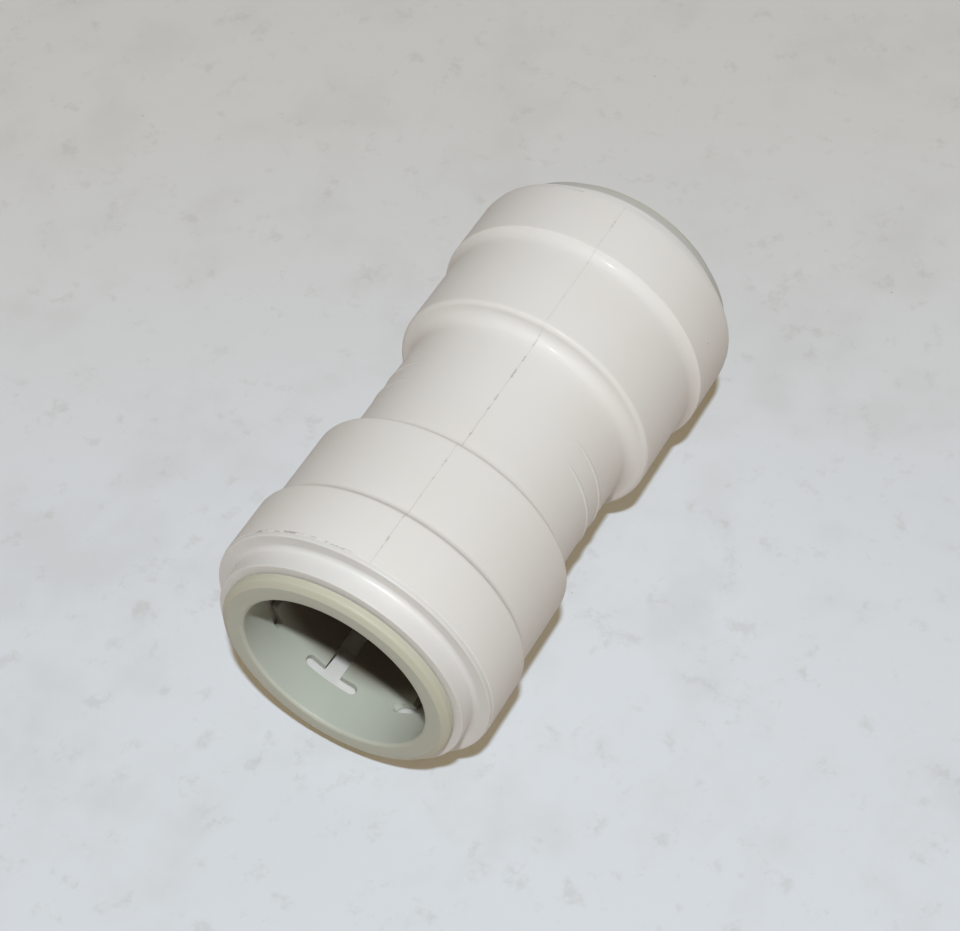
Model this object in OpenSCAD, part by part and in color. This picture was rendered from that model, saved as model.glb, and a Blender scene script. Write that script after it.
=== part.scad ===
// Push to connect coupling for two tubes of the same size.
// The tube axis runs along X, with end "a" towards -X and end "b" towards +X.
// The origin is the middle of the body, on the axis, and +Z is up as the coupling lies.

/* [Tube] */
// Outside diameter of the tube that each end takes
tube_d = 28.575; // [22:0.005:34]
// Radial clearance between the tube and the collet bore
tube_clear = 0.21; // [0.1:0.01:0.4]
// Radial clearance between the tube and the socket in the body
socket_clear = 0.31; // [0.15:0.01:0.5]
// Diameter of the waterway through the tube stop
waterway_d = 24; // [14:0.5:26]

/* [Body] */
// Thickness of the tube stop in the middle
stop_t = 2.5; // [1.5:0.1:5]
// Length of the plain socket between the tube stop and the seal
socket_l = 13.75; // [8:0.25:24]
// Wall of the waist round the socket
waist_wall = 3.54; // [2.4:0.02:5]
// Wall of the middle bell round the finger chamber
mid_wall = 2.5; // [1.6:0.1:4]
// Wall of the mouth bell round the cap
mouth_wall = 2; // [1.4:0.1:3.5]
// Distance from the seal back to the place where the middle bell reaches its full width, at end a
gland_back = 1.5; // [0.5:0.1:4]
// How much further back the middle bell of end b reaches
bell_extra = 1.2; // [0:0.1:3]
// How far the full width of the mouth bell reaches back past the end of the cap
mouth_overlap = 1; // [0.5:0.1:3]
// Hollow curve where the waist meets the middle bell
shoulder_fillet = 2.4; // [0.4:0.1:5]
// Round on the corner of the middle bell
shoulder_round = 0.9; // [0.2:0.1:1.5]
// Hollow curve where the middle bell meets the mouth bell
step_fillet = 1.5; // [0.4:0.1:3]
// Round on the corner of the mouth bell
step_round = 0.8; // [0.2:0.1:2]

/* [Depth marks] */
// Distance between the two raised marks on each side of the waist
mark_pitch = 3.7; // [2:0.1:8]
// Width of a mark at its foot
mark_w = 0.7; // [0.4:0.1:1.2]
// Height of a mark above the waist
mark_h = 0.28; // [0.1:0.02:0.6]
// Angle that a mark covers round the waist
mark_arc = 92; // [30:1:140]
// Angle of the mould parting line from the top of the body as it lies
parting_turn = -9; // [-45:1:45]

/* [Seal] */
// Section diameter of the O-ring
o_ring_section = 3.5; // [2.6:0.1:4]
// How far the free O-ring reaches inside the tube surface
o_ring_squeeze = 0.34; // [0.1:0.02:0.6]
// Clearance round the O-ring in its gland
gland_clear = 0.05; // [0.02:0.01:0.2]
// Thickness of the spacer ring that keeps the O-ring in
spacer_t = 2.5; // [1.5:0.1:5]
// Radial clearance between the spacer ring and the tube
spacer_clear = 0.35; // [0.2:0.05:0.6]
// Clearance of the spacer ring in the finger chamber
spacer_fit = 0.04; // [0.02:0.01:0.1]
// Chamfer at the mouth of the spacer ring
spacer_chamfer = 0.8; // [0.3:0.1:1.4]

/* [Collet] */
// Wall of the collet sleeve
collet_wall = 1; // [0.8:0.1:3]
// Thickness of the collet flange
flange_t = 1.7; // [1.2:0.1:4]
// How far the flange stands out from the sleeve
flange_rise = 2.76; // [1:0.02:4]
// Chamfer on the front edge of the flange
flange_chamfer = 1.05; // [0.1:0.05:1.6]
// Round on the back edge of the flange
back_round = 0.1; // [0.05:0.05:0.8]
// Round on the edge of the bore in the collet face
lip_round = 0.6; // [0.3:0.1:1]
// Gap between the flange and the cap, which the collet is pushed in by to let a tube go
release_gap = 0.2; // [0.1:0.1:3]
// Way that the collet slides out until its fingers wedge in the cap
pull_travel = 2.2; // [1:0.1:4]
// Length of the straight bore that guides the tube, from the collet face
guide_l = 9.9; // [8:0.1:14]

/* [Fingers] */
// Number of fingers, each with one slot beside it and one tooth in it
finger_count = 6; // [4:1:8]
// Angle of the first slot from the top of the body
slot_turn = 39; // [0:1:89]
// Width of the long slot between two fingers
slot_w = 2.7; // [1:0.1:4]
// Width of the cross slot at the root of a finger
cross_w = 1.7; // [0.8:0.1:2.5]
// Length of the cross slot round the sleeve
cross_l = 8.7; // [5:0.1:10]
// Distance from the collet face to the middle of the cross slot
cross_depth = 6.9; // [5:0.1:9]
// How far the barb on a finger stands out from the sleeve
barb_h = 2.4; // [0.8:0.1:3]
// Length of the flat land on the barb
barb_land = 2.8; // [2:0.1:5]
// Length of the ramp between the finger tip and the land
barb_lead = 1.5; // [0.8:0.1:3]
// Gap between the finger tips and the spacer ring
tip_gap = 1.7; // [1:0.1:4]
// How far the fingers flare inside, from the straight bore to their tips
finger_flare = 0.4; // [0.2:0.1:0.8]
// Rise per unit of length of the wedge on the barb and in the cap
wedge_slope = 0.45; // [0.25:0.01:0.6]

/* [Teeth] */
// Thickness of a tooth plate
tooth_t = 0.6; // [0.3:0.1:1]
// Angle that a tooth covers round the tube
tooth_arc = 24; // [10:1:30]
// Lean of a tooth from the radial direction, towards the tube stop
tooth_lean = 35; // [10:1:40]
// How far a tooth reaches inside the tube surface
tooth_bite = 0.24; // [0.1:0.02:0.5]
// Material left over a tooth at the outside of its finger
tooth_cover = 0.7; // [0.5:0.1:1.2]

/* [Cap] */
// Radial clearance between the collet sleeve and the cap
slide_clear = 0.3; // [0.15:0.05:0.6]
// Clearance between the finger barbs and the finger chamber
barb_clear = 0.5; // [0.3:0.1:1]
// Length of the cap's neck that guides the collet
neck_l = 6.15; // [4:0.05:14]
// Wall of the nose that stands out of the mouth
nose_wall = 3.7; // [2.2:0.1:5]
// How far the nose stands out of the mouth
nose_l = 3.4; // [1.5:0.05:5]
// Round on the front edge of the nose
nose_round = 0.15; // [0.05:0.05:0.9]
// Fillet at the foot of the nose
nose_fillet = 1.7; // [0.2:0.1:2]
// Thickness of the cap's rim, which lies on the end of the mouth bell
rim_t = 0.75; // [0.4:0.05:2]
// How far the rim stays inside the mouth bell's outside
rim_setback = 0.12; // [0.05:0.01:0.4]
// Width of the ledge that the cap's spigot rests on
spigot_ledge = 1.55; // [1:0.05:3]
// Radial clearance of the spigot in the mouth bell
spigot_fit = 0.05; // [0.02:0.01:0.1]

/* [Hidden] */
$fn = 96;
// Extra length of a cut past the face that it goes through
cut_over = 1;
// How far the piece of a round or a fillet reaches past its corner
corner_lap = 0.2;
// Clearance round a tooth in its pocket
tooth_fit = 0.02;
// Radial width of the wedge's open end beyond the barb
wedge_lip = 0.4;
// Axial clearance that is left in the wedge at the end of the collet's way out
wedge_gap = 0.65;
// Chamfer where the neck and the socket let the next piece in
entry_chamfer = 0.4;

// Radii, from the tube outwards
tube_r = tube_d / 2;
waterway_r = waterway_d / 2;
socket_r = tube_r + socket_clear;
waist_r = socket_r + waist_wall;
bore_r = tube_r + tube_clear;
flare_r = bore_r + finger_flare;
sleeve_r = bore_r + collet_wall;
flange_r = sleeve_r + flange_rise;
barb_r = sleeve_r + barb_h;
tip_r = max(sleeve_r, barb_r - barb_lead);
neck_r = sleeve_r + slide_clear;
nose_r = neck_r + nose_wall;
wedge_r = barb_r + wedge_lip;
chamber_r = barb_r + barb_clear;
mid_r = chamber_r + mid_wall;
spigot_r = chamber_r + spigot_ledge;
seat_r = spigot_r + spigot_fit;
mouth_r = seat_r + mouth_wall;
rim_r = mouth_r - rim_setback;
o_ring_in_r = tube_r - o_ring_squeeze;
o_ring_mid_r = o_ring_in_r + o_ring_section / 2;
gland_r = o_ring_in_r + o_ring_section + gland_clear;

// Distances from the middle of the body, outwards to the collet face
stop_z = stop_t / 2;
gland_z = stop_z + socket_l;
spacer_z = gland_z + o_ring_section + 2 * gland_clear;
chamber_z = spacer_z + spacer_t;
tip_z = chamber_z + tip_gap;
land_z = tip_z + barb_lead;
land_end_z = land_z + barb_land;
barb_end_z = land_end_z + barb_h / wedge_slope;
cap_z = land_end_z + pull_travel + wedge_gap - wedge_lip / wedge_slope;
neck_z = cap_z + (wedge_r - neck_r) / wedge_slope;
nose_z = neck_z + neck_l;
front_z = nose_z - nose_l;
rim_z = front_z - rim_t;
flange_z = nose_z + release_gap;
face_z = flange_z + flange_t;
cross_z = face_z - cross_depth;
guide_z = face_z - guide_l;
shoulder_z = gland_z - gland_back;
step_z = cap_z - mouth_overlap;

// Rounds and fillets, limited by the step that they share
shoulder_f = max(shoulder_fillet, mid_r - waist_r - shoulder_round);
step_f = max(step_fillet, mouth_r - mid_r - step_round);
nose_f = min(nose_fillet, 0.8 * (rim_r - nose_r));
nose_c = min(nose_round, 0.8 * (nose_r - neck_r - entry_chamfer));
flange_c = min(flange_chamfer, 0.65 * flange_t, 0.6 * (flange_r - sleeve_r));
back_c = min(back_round, 0.3 * flange_t, 0.3 * (flange_r - sleeve_r));
lip_c = min(lip_round, 0.45 * flange_t, 0.35 * (flange_r - bore_r));

// A tooth's plate, from its root in the barb to its edge inside the tube surface
tooth_root_r = barb_r - tooth_cover;
tooth_edge_r = tube_r - tooth_bite;
tooth_run = (tooth_root_r - tooth_edge_r) * tan(tooth_lean);
tooth_half_t = tooth_t / cos(tooth_lean) / 2;
tooth_root_z = land_end_z - tooth_half_t;
tooth_pitch = 360 / finger_count;

ENDS = ["a", "b"];

// Turns a piece built along +Z to point out of one end of the coupling
module at_end(end) {
    rotate([0, end == "a" ? -90 : 90, 0]) children();
}

// Half section of a plain ring: radii r0 to r1, distances z0 to z1
module band(r0, r1, z0, z1) {
    translate([r0, z0]) square([r1 - r0, z1 - z0]);
}

// What a round of radius f takes off the corner at (r, z), or what a fillet adds to it.
// side_r and side_z are 1 or -1 and point from the corner to the middle of the round.
module round_off(r, z, f, side_r, side_z) {
    difference() {
        translate([r + side_r * (f - corner_lap) / 2, z + side_z * (f - corner_lap) / 2])
            square(f + corner_lap, center = true);
        translate([r + side_r * f, z + side_z * f]) circle(f);
    }
}

// Half section of a bell, which rises from radius r0 to its full radius r1 at distance z
// by a hollow curve of radius f that runs into a round of radius c
module bell(r0, r1, z, f, c) {
    reach = f + c;
    turn = acos(1 - (r1 - r0) / reach);
    start_z = z - reach * sin(turn);
    difference() {
        band(waterway_r, r1, start_z, rim_z);
        translate([r0 + f, start_z]) circle(f);
        difference() {
            polygon([[r1 - c, z], [r0 + f, start_z], [r1 - c + reach, z]]);
            translate([r1 - c, z]) circle(c);
        }
    }
}

// Half section of half of the body, without the marks; extra lengthens its middle bell
module body_half_section(extra) {
    difference() {
        union() {
            band(waterway_r, waist_r, -stop_z, rim_z);
            bell(waist_r, mid_r, shoulder_z - extra, shoulder_f, shoulder_round);
            bell(mid_r, mouth_r, step_z, step_f, step_round);
        }
        band(0, socket_r, stop_z, gland_z + cut_over);
        polygon([
            [0, gland_z - entry_chamfer],
            [socket_r, gland_z - entry_chamfer],
            [socket_r + entry_chamfer, gland_z],
            [0, gland_z],
        ]);
        band(0, gland_r, gland_z, spacer_z);
        band(0, chamber_r, spacer_z, cap_z);
        band(0, seat_r, cap_z, rim_z + cut_over);
    }
}

// One raised depth mark, an arc round the waist centred on +X
module depth_mark(z) {
    foot = mark_w / 2;
    crest = foot - mark_h / 2;
    rotate([0, 0, -mark_arc / 2]) rotate_extrude(angle = mark_arc) polygon([
        [waist_r - waist_wall / 2, z - foot],
        [waist_r, z - foot],
        [waist_r + mark_h, z - crest],
        [waist_r + mark_h, z + crest],
        [waist_r, z + foot],
        [waist_r - waist_wall / 2, z + foot],
    ]);
}

module body() {
    color("#e2dcd8") at_end("a") {
        rotate_extrude() {
            body_half_section(0);
            mirror([0, 1]) body_half_section(bell_extra);
        }
        for (side = [-90, 90], half = [-1, 1])
            rotate([0, 0, parting_turn + side]) depth_mark(half * mark_pitch / 2);
    }
}

// The cap: a spigot with the wedge inside, a rim on the mouth, and the nose with the neck
module cap(end) {
    color("#e6e2e1") at_end(end) rotate_extrude() difference() {
        union() {
            band(neck_r, spigot_r, cap_z, front_z);
            band(neck_r, rim_r, rim_z, front_z);
            band(neck_r, nose_r, rim_z, nose_z);
            round_off(nose_r, front_z, nose_f, 1, 1);
        }
        round_off(nose_r, nose_z, nose_c, -1, -1);
        polygon([[0, cap_z], [wedge_r, cap_z], [neck_r, neck_z], [0, neck_z]]);
        polygon([
            [0, nose_z - entry_chamfer],
            [neck_r, nose_z - entry_chamfer],
            [neck_r + entry_chamfer, nose_z],
            [0, nose_z],
        ]);
    }
}

// Half section of the collet before it is slotted
module collet_half_section() {
    difference() {
        union() {
            band(bore_r, sleeve_r, tip_z, face_z);
            band(bore_r, flange_r, flange_z, face_z);
            polygon([
                [bore_r, tip_z],
                [tip_r, tip_z],
                [barb_r, land_z],
                [barb_r, land_end_z],
                [sleeve_r, barb_end_z],
                [bore_r, barb_end_z],
            ]);
        }
        polygon([
            [flange_r - flange_c, face_z],
            [flange_r, face_z - flange_c],
            [flange_r + flange_c, face_z + flange_c],
        ]);
        round_off(flange_r, flange_z, back_c, -1, 1);
        round_off(bore_r, face_z, lip_c, 1, -1);
        polygon([[0, tip_z], [flare_r, tip_z], [bore_r, guide_z], [0, guide_z]]);
    }
}

// Outline of a slot, laid flat: the long slot up to the tip and the cross slot at its root
module slot_outline() {
    cross_half = (cross_l - cross_w) / 2;
    translate([tip_z - cut_over, -slot_w / 2]) square([cross_z - tip_z + cut_over, slot_w]);
    translate([cross_z - cross_w / 2, -cross_half]) square([cross_w, 2 * cross_half]);
    for (side = [-1, 1]) translate([cross_z, side * cross_half]) circle(cross_w / 2);
}

// One slot, cut straight through the wall on the side of +X
module slot_cut() {
    rotate([0, -90, 0]) translate([0, 0, -barb_r - cut_over])
        linear_extrude(barb_r - waterway_r + 2 * cut_over) slot_outline();
}

// Section of a tooth plate, larger by grow on each side
function tooth_section(grow) = let (
    half = tooth_half_t + grow / cos(tooth_lean),
    run = tan(tooth_lean),
    out_r = tooth_root_r + grow,
    out_z = tooth_root_z + grow * run,
    in_r = tooth_edge_r - grow,
    in_z = tooth_root_z - tooth_run - grow * run
) [[out_r, out_z - half], [out_r, out_z + half], [in_r, in_z + half], [in_r, in_z - half]];

// A tooth plate bent round the tube, centred on +X, larger by grow all round
module tooth_plate(grow) {
    arc = tooth_arc + 2 * grow / tooth_edge_r * 180 / PI;
    rotate([0, 0, -arc / 2]) rotate_extrude(angle = arc) polygon(tooth_section(grow));
}

// Turns a piece to the finger with number k
module at_finger(k) {
    rotate([0, 0, slot_turn + (k - 0.5) * tooth_pitch]) children();
}

module collet(end) {
    color("#b9bcab") at_end(end) difference() {
        rotate_extrude() collet_half_section();
        for (k = [1:finger_count]) {
            rotate([0, 0, slot_turn + k * tooth_pitch]) slot_cut();
            at_finger(k) tooth_plate(tooth_fit);
        }
    }
}

module grip_tooth(end, k) {
    color("#b8b9ba") at_end(end) at_finger(k) tooth_plate(0);
}

module o_ring(end) {
    color("#1c1c1e") at_end(end) rotate_extrude()
        translate([o_ring_mid_r, (gland_z + spacer_z) / 2]) circle(o_ring_section / 2);
}

module spacer_ring(end) {
    spacer_in_r = tube_r + spacer_clear;
    color("#d8d6cf") at_end(end) rotate_extrude() difference() {
        band(spacer_in_r, chamber_r - spacer_fit, spacer_z, chamber_z);
        polygon([
            [0, chamber_z - spacer_chamfer],
            [spacer_in_r, chamber_z - spacer_chamfer],
            [spacer_in_r + spacer_chamfer, chamber_z],
            [0, chamber_z],
        ]);
    }
}

body();
for (end = ENDS) {
    cap(end);
    collet(end);
    o_ring(end);
    spacer_ring(end);
    for (k = [1:finger_count])
        grip_tooth(end, k);
}
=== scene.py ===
"""Looks of a push to connect coupling, laid out as a Blender add-on and run as a script."""

import math

import bpy
from bpy.props import FloatProperty, FloatVectorProperty, IntProperty, PointerProperty
from bpy.types import Operator, Panel, PropertyGroup
from mathutils import Matrix, Vector


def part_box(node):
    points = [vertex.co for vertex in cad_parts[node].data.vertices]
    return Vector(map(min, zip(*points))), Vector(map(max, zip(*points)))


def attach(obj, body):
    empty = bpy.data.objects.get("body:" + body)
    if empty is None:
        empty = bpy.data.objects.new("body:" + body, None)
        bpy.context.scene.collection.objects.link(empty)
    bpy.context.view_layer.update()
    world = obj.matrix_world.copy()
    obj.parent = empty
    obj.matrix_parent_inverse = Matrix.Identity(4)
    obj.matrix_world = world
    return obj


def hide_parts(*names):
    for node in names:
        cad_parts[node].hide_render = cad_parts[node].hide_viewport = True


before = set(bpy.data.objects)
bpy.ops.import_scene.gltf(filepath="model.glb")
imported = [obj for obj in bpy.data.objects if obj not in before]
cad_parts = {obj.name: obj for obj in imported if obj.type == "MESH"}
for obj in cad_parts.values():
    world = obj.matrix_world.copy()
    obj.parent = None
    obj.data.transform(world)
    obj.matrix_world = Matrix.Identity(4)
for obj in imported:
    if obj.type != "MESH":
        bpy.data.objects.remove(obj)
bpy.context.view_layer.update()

bl_info = {
    "name": "Push to connect coupling",
    "version": (1, 0, 0),
    "blender": (4, 5, 0),
    "location": "View3D > Sidebar > Coupling",
    "description": "Models and dresses the body, caps, collets, teeth and seals of a tube coupling",
    "category": "Object",
}

MM = 0.001
ENDS = {"a": -1, "b": 1}

# The camera that was fitted to the photograph
CAMERA_AZIMUTH = math.radians(-60.762)
CAMERA_ELEVATION = math.radians(52.408)
CAMERA_DISTANCE = 358.9 * MM
CAMERA_RIGHT = -0.508 * MM
CAMERA_UP = -0.686 * MM
FOCAL_PIXELS = 2446.8
PICTURE_PIXELS = 960

# Corners of the solids' boxes, at end b, which the sizes of the modelled pieces start from
BODY_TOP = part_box("body")[1]
CAP_LOW, CAP_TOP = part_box("cap_b")
COLLET_LOW, COLLET_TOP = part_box("collet_b")
SPACER_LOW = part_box("spacer_ring_b")[0]


def length(name, description, metres):
    """A size that a user can change, in metres."""
    return FloatProperty(
        name=name, description=description, default=metres, precision=6, unit="LENGTH"
    )


def angle(name, description, degrees):
    """An angle that a user can change."""
    return FloatProperty(
        name=name, description=description, default=math.radians(degrees), unit="ROTATION"
    )


def colour(name, description, red, green, blue):
    """A surface or light colour that a user can change."""
    return FloatVectorProperty(
        name=name, description=description, default=(red, green, blue),
        size=3, min=0.0, max=1.0, subtype="COLOR",
    )


class BodySizes(PropertyGroup):
    """Sizes of the body, as distances from its middle and radii from its axis"""

    mouth_r: length("Mouth radius", "Outside of the mouth bell", BODY_TOP.z)
    mid_r: length("Middle radius", "Outside of the middle bell", 20.8975 * MM)
    waist_r: length("Waist radius", "Outside of the waist", 18.1375 * MM)
    rim_x: length("Rim", "End of the mouth bell", BODY_TOP.x)
    step_x: length("Step", "Where the mouth bell reaches its full width", 28.061 * MM)
    shoulder_x: length("Shoulder", "Where the middle bell of end a reaches its full width", 13.5 * MM)
    bell_extra: length("Bell extra", "How much further back the middle bell of end b reaches", 1.2 * MM)
    shoulder_fillet: length("Shoulder fillet", "Hollow curve at the foot of the shoulder", 2.2 * MM)
    shoulder_round: length("Shoulder round", "Round on the shoulder's corner", 0.82 * MM)
    step_fillet: length("Step fillet", "Hollow curve at the foot of the step", 1.5 * MM)
    step_round: length("Step round", "Round on the step's corner", 0.8 * MM)
    step_extra: length("Step extra", "How much further back the mouth bell of end b reaches", 0.68 * MM)
    step_far_fillet: length("Step fillet, end b", "Wider hollow curve at end b", 2.9 * MM)
    step_far_round: length("Step round, end b", "Crisper round at end b", 0.25 * MM)
    rim_round: length("Rim round", "Round on the mouth bell's edge", 0.12 * MM)
    seat_r: length("Seat radius", "Seat of the cap's spigot", 19.9975 * MM)
    chamber_r: length("Chamber radius", "Chamber of the collet's fingers", 18.3975 * MM)
    gland_r: length("Gland radius", "Gland of the O-ring", 17.4975 * MM)
    gland_x: length("Gland", "Inner wall of the gland", 15 * MM)
    socket_r: length("Socket radius", "Socket of the tube", 14.5975 * MM)
    waterway_r: length("Waterway radius", "Hole through the tube stop", 12 * MM)
    stop_x: length("Stop", "Face of the tube stop", 1.25 * MM)
    entry_chamfer: length("Entry chamfer", "Chamfer where the next piece goes in", 0.4 * MM)
    mark_pitch: length("Mark pitch", "Distance between two depth marks", 3.7 * MM)
    mark_w: length("Mark width", "Width of a depth mark", 0.7 * MM)
    mark_h: length("Mark height", "Height of a depth mark", 0.16 * MM)
    mark_fade: length("Mark fade", "How far the centre of a mark's arc lies off the axis", 0.44 * MM)
    mark_arc: angle("Mark arc", "Angle that a depth mark covers", 101)
    parting_turn: angle("Parting turn", "Angle of the parting line from the top", -9)
    parting_r: length("Parting bead", "Radius of the bead along the parting line", 0.05 * MM)
    weld_r: length("Weld bead", "Radius of the bead between body and cap at end a", 0.11 * MM)
    weld_far_r: length("Weld bead, end b", "Radius of the finer bead at end b", 0.05 * MM)


class CapSizes(PropertyGroup):
    """Sizes of a cap"""

    rim_r: length("Rim radius", "Outside of the cap's rim", CAP_TOP.z)
    inner_x: length("Inner end", "End of the spigot inside the body", CAP_LOW.x)
    nose_x: length("Nose end", "Front of the nose", CAP_TOP.x)
    nose_l: length("Nose length", "How far the nose stands out of the rim", 3.4 * MM)
    nose_r: length("Nose radius", "Outside of the nose", 19.4975 * MM)
    nose_round: length("Nose round", "Round on the front edge of the nose", 0.15 * MM)
    nose_fillet: length("Nose fillet", "Fillet at the foot of the nose", 0.8 * MM)
    rim_round: length("Rim round", "Round on the front edge of the rim", 0.2 * MM)
    spigot_r: length("Spigot radius", "Outside of the spigot", 19.9475 * MM)
    neck_r: length("Neck radius", "Bore that guides the collet", 15.7975 * MM)
    wedge_r: length("Wedge radius", "Open end of the wedge", 18.2975 * MM)
    wedge_l: length("Wedge length", "Length of the wedge", 5.5556 * MM)


class ColletSizes(PropertyGroup):
    """Sizes of a collet"""

    tip_x: length("Finger tips", "Inner end of the fingers", COLLET_LOW.x)
    face_x: length("Face", "Front face of the collet", COLLET_TOP.x)
    flange_r: length("Flange radius", "Outside of the flange", COLLET_TOP.z)
    flange_t: length("Flange thickness", "Thickness of the flange", 1.7 * MM)
    chamfer_r: length("Chamfer width", "How far the front chamfer reaches in over the face", 1.1 * MM)
    chamfer_x: length("Chamfer depth", "How far the front chamfer reaches down the side", 0.57 * MM)
    edge_round: length("Edge round", "Round on the edges of the flange", 0.1 * MM)
    side_round: length("Side round", "Round between the front chamfer and the side", 0.6 * MM)
    lip_round: length("Lip round", "Round on the edge of the bore", 0.6 * MM)
    bore_r: length("Bore radius", "Bore that takes the tube", 14.4975 * MM)
    sleeve_r: length("Sleeve radius", "Outside of the sleeve", 15.4975 * MM)
    tip_r: length("Tip radius", "Outside of the finger tips", 16.3975 * MM)
    barb_r: length("Barb radius", "Outside of the barbs", 17.8975 * MM)
    barb_lead: length("Barb lead", "Ramp from the tip to the land", 1.5 * MM)
    barb_land: length("Barb land", "Flat land of the barb", 2.8 * MM)
    barb_l: length("Barb wedge", "Length of the barb's wedge", 5.3333 * MM)
    guide_l: length("Guide length", "Straight bore from the collet face", 9.9 * MM)
    finger_flare: length("Finger flare", "Flare inside the finger tips", 0.4 * MM)
    slot_w: length("Slot width", "Width of the long slots", 2.7 * MM)
    cross_w: length("Cross slot width", "Width of the cross slots", 1.7 * MM)
    cross_l: length("Cross slot length", "Length of the cross slots", 8.7 * MM)
    cross_depth: length("Cross slot depth", "Collet face to cross slot", 6.9 * MM)
    slot_turn: angle("Slot turn", "Angle of the first slot from the top", 39)
    finger_count: IntProperty(name="Fingers", description="Number of fingers", default=6)


class Finishes(PropertyGroup):
    """Colours of the surfaces and lights"""

    body: colour("Body", "White plastic of the body", 0.800, 0.785, 0.768)
    body_warm: colour("Body, warm", "Warmer patches of the body", 0.790, 0.765, 0.738)
    cap: colour("Cap", "White plastic of the caps", 0.735, 0.725, 0.715)
    # Painted shade: a grey that darkens the nose of the cap at end b, as if it lay in shade
    painted_nose_shade: colour("Painted nose shade", "Grey stain on the nose of the cap at end b", 0.470, 0.470, 0.445)
    collet: colour("Collet", "Grey-green plastic of the collets", 0.500, 0.530, 0.470)
    collet_dark: colour("Collet, dark", "Darker patches of the collets", 0.470, 0.500, 0.440)
    collet_aged: colour("Collet, aged", "Yellowed plastic round the flange", 0.555, 0.545, 0.445)
    # Painted shade: a dark brown that stands for the shade deep in a collet's bore
    collet_deep_shade: colour("Collet, deep", "Shaded plastic deep in the bore", 0.130, 0.100, 0.066)
    grime: colour("Grime", "Dirt in the parting line, scuffs and specks", 0.200, 0.165, 0.140)
    seal: colour("Seal", "Rubber of the O-rings", 0.022, 0.022, 0.024)
    spacer: colour("Spacer", "Plastic of the spacer rings", 0.660, 0.650, 0.600)
    tooth: colour("Tooth", "Stainless steel of the teeth", 0.560, 0.555, 0.545)
    floor: colour("Floor", "Pale table top, near the camera", 0.575, 0.652, 0.780)
    # Painted shade: the table top's colour is darker away from the camera
    floor_far_shade: colour("Floor, far", "Pale table top, behind the coupling", 0.535, 0.580, 0.665)
    # Painted light: a warm glow that the table top gives off where it is seen, which lifts its shadows
    floor_painted_glow: colour("Floor glow", "Warm glow in the table top's shadows", 0.150, 0.115, 0.050)
    floor_bounce: colour("Floor bounce", "Table top as it lights the coupling", 0.560, 0.480, 0.410)
    floor_mark: colour("Floor mark", "Smudges on the table top", 0.335, 0.360, 0.420)
    key: colour("Key light", "Cool light from above the camera", 0.940, 0.990, 1.000)
    fill: colour("Fill light", "Warm light of the room", 1.000, 0.720, 0.515)
    backdrop: colour("Backdrop", "Pale room behind the table top", 0.860, 0.860, 0.870)


class CouplingSettings(PropertyGroup):
    """Everything that a user can change on the coupling"""

    body: PointerProperty(type=BodySizes)
    cap: PointerProperty(type=CapSizes)
    collet: PointerProperty(type=ColletSizes)
    finish: PointerProperty(type=Finishes)


def settings():
    """The settings of the coupling in this scene."""
    return bpy.context.scene.coupling


# Modelling helpers

TURN_STEPS = 240
ARC_STEPS = 8
MERGE = 2e-6
SMOOTH_ANGLE = math.radians(32)
UPRIGHT = 0.9

# Depth marks and beads: steps round a section and along a mark, and how far a bead is sunk in and
# how ragged it is, as shares of its radius
MARK_STEPS = 16
MARK_SWEEP_STEPS = 72
BEAD_STEPS = 8
PARTING_SUNK = 0.7
WELD_SUNK = 0.3
WELD_RAGGED = 0.35
WELD_SEED = 7

# Cutters: how far they reach past the wall, and the share of a cross slot's width that rounds its ends
CUT_LAP = MM
END_ROUND = 0.499


def arc(centre_x, centre_r, radius, start, end):
    """Points of a round in a half section, with angles in degrees from +X towards larger radii."""
    points = []
    for step in range(ARC_STEPS + 1):
        turn = math.radians(start + (end - start) * step / ARC_STEPS)
        points.append((centre_x + radius * math.cos(turn), centre_r + radius * math.sin(turn)))
    return points


def to_side(outline, side):
    """The half section at end b, or its mirror image at end a."""
    return [(side * x, r) for x, r in outline]


def radial(x, radius, turn):
    """The point at a distance along the axis, a radius and an angle from the top."""
    return Vector((x, radius * math.sin(turn), radius * math.cos(turn)))


def begin():
    """Leaves nothing selected, so that the next operators act on the new piece alone."""
    if bpy.context.object and bpy.context.object.mode != "OBJECT":
        bpy.ops.object.mode_set(mode="OBJECT")
    bpy.ops.object.select_all(action="DESELECT")


def close_mesh():
    """Merges the seams of the mesh in edit mode and points its faces outwards."""
    bpy.ops.mesh.select_all(action="SELECT")
    bpy.ops.mesh.remove_doubles(threshold=MERGE)
    bpy.ops.mesh.normals_make_consistent(inside=False)


def end_piece(name):
    """Leaves edit mode, puts the piece's place into its mesh and names it."""
    if bpy.context.object.mode != "OBJECT":
        bpy.ops.object.mode_set(mode="OBJECT")
    bpy.ops.object.transform_apply(location=True, rotation=True, scale=True)
    piece = bpy.context.object
    piece.name = name
    piece.data.name = name
    return piece


def lathe(name, outline):
    """Turns a closed half section of (x, radius) points about the tube axis."""
    begin()
    x, radius = outline[0]
    bpy.ops.mesh.primitive_circle_add(
        vertices=TURN_STEPS, radius=radius, location=(x, 0, 0), rotation=(0, math.pi / 2, 0)
    )
    bpy.ops.object.transform_apply(location=True, rotation=True, scale=True)
    bpy.ops.object.mode_set(mode="EDIT")
    bpy.ops.mesh.select_all(action="SELECT")
    for next_x, next_r in outline[1:] + outline[:1]:
        bpy.ops.mesh.extrude_region_move(TRANSFORM_OT_translate={"value": (next_x - x, 0, 0)})
        grow = next_r / radius
        bpy.ops.transform.resize(value=(1, grow, grow), center_override=(next_x, 0, 0))
        x, radius = next_x, next_r
    close_mesh()
    piece = end_piece(name)
    bpy.ops.object.shade_smooth_by_angle(angle=SMOOTH_ANGLE)
    return piece


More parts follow.
